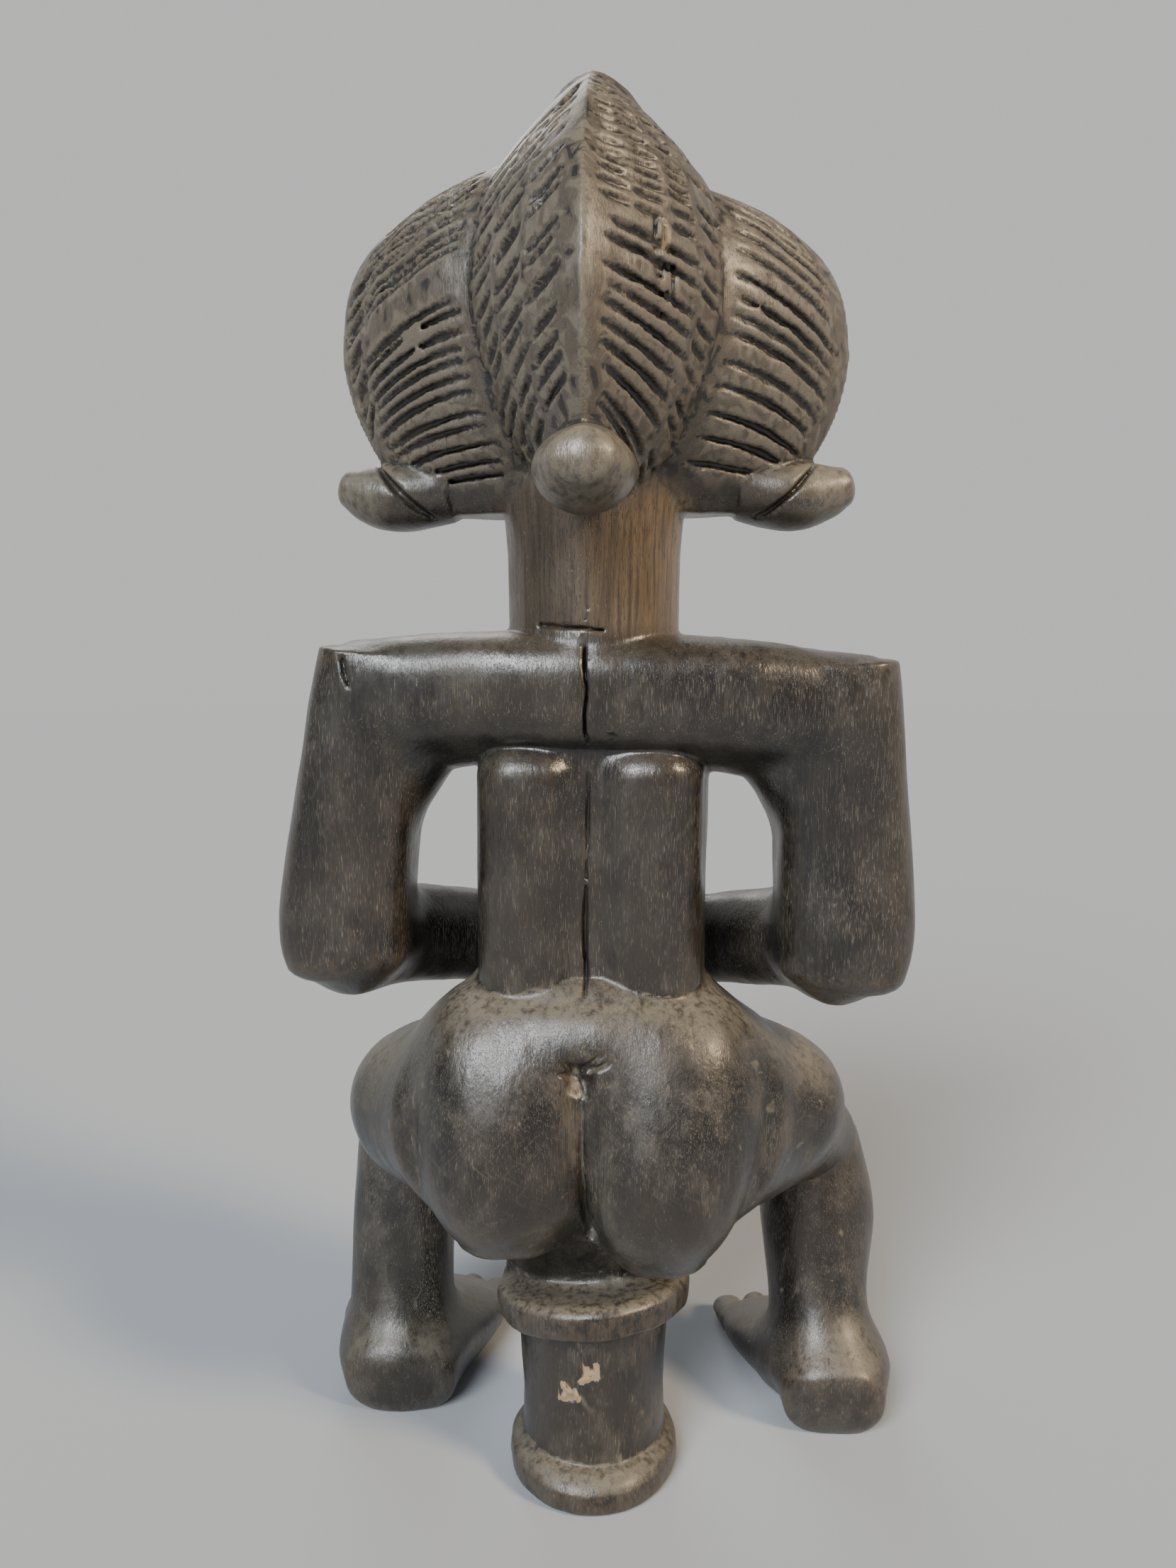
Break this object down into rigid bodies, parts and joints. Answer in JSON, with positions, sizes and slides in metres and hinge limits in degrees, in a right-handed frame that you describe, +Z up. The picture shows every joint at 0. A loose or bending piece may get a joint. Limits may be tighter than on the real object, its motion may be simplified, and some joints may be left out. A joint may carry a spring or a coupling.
{
  "type": "carved seated figure on a stool",
  "caption": "Carved hardwood figure sitting upright on a spool-shaped stool, hands on the belly, with a keeled and grooved lobed coiffure. Stands on the stool and feet.",
  "frame": {"origin": "centre of the stool's flat underside, on the ground", "axes": "+Z up, the figure faces -Y, its left side is +X"},
  "size_m": [0.1858, 0.1623, 0.3956],
  "materials": {
    "dark_hardwood": "dark brown patina with a handled satin sheen, worn lighter on the neck and edges, dust in the creases"
  },
  "bodies": {
    "root": {"carved_figure": "dark_hardwood"}
  },
  "joints": []
}
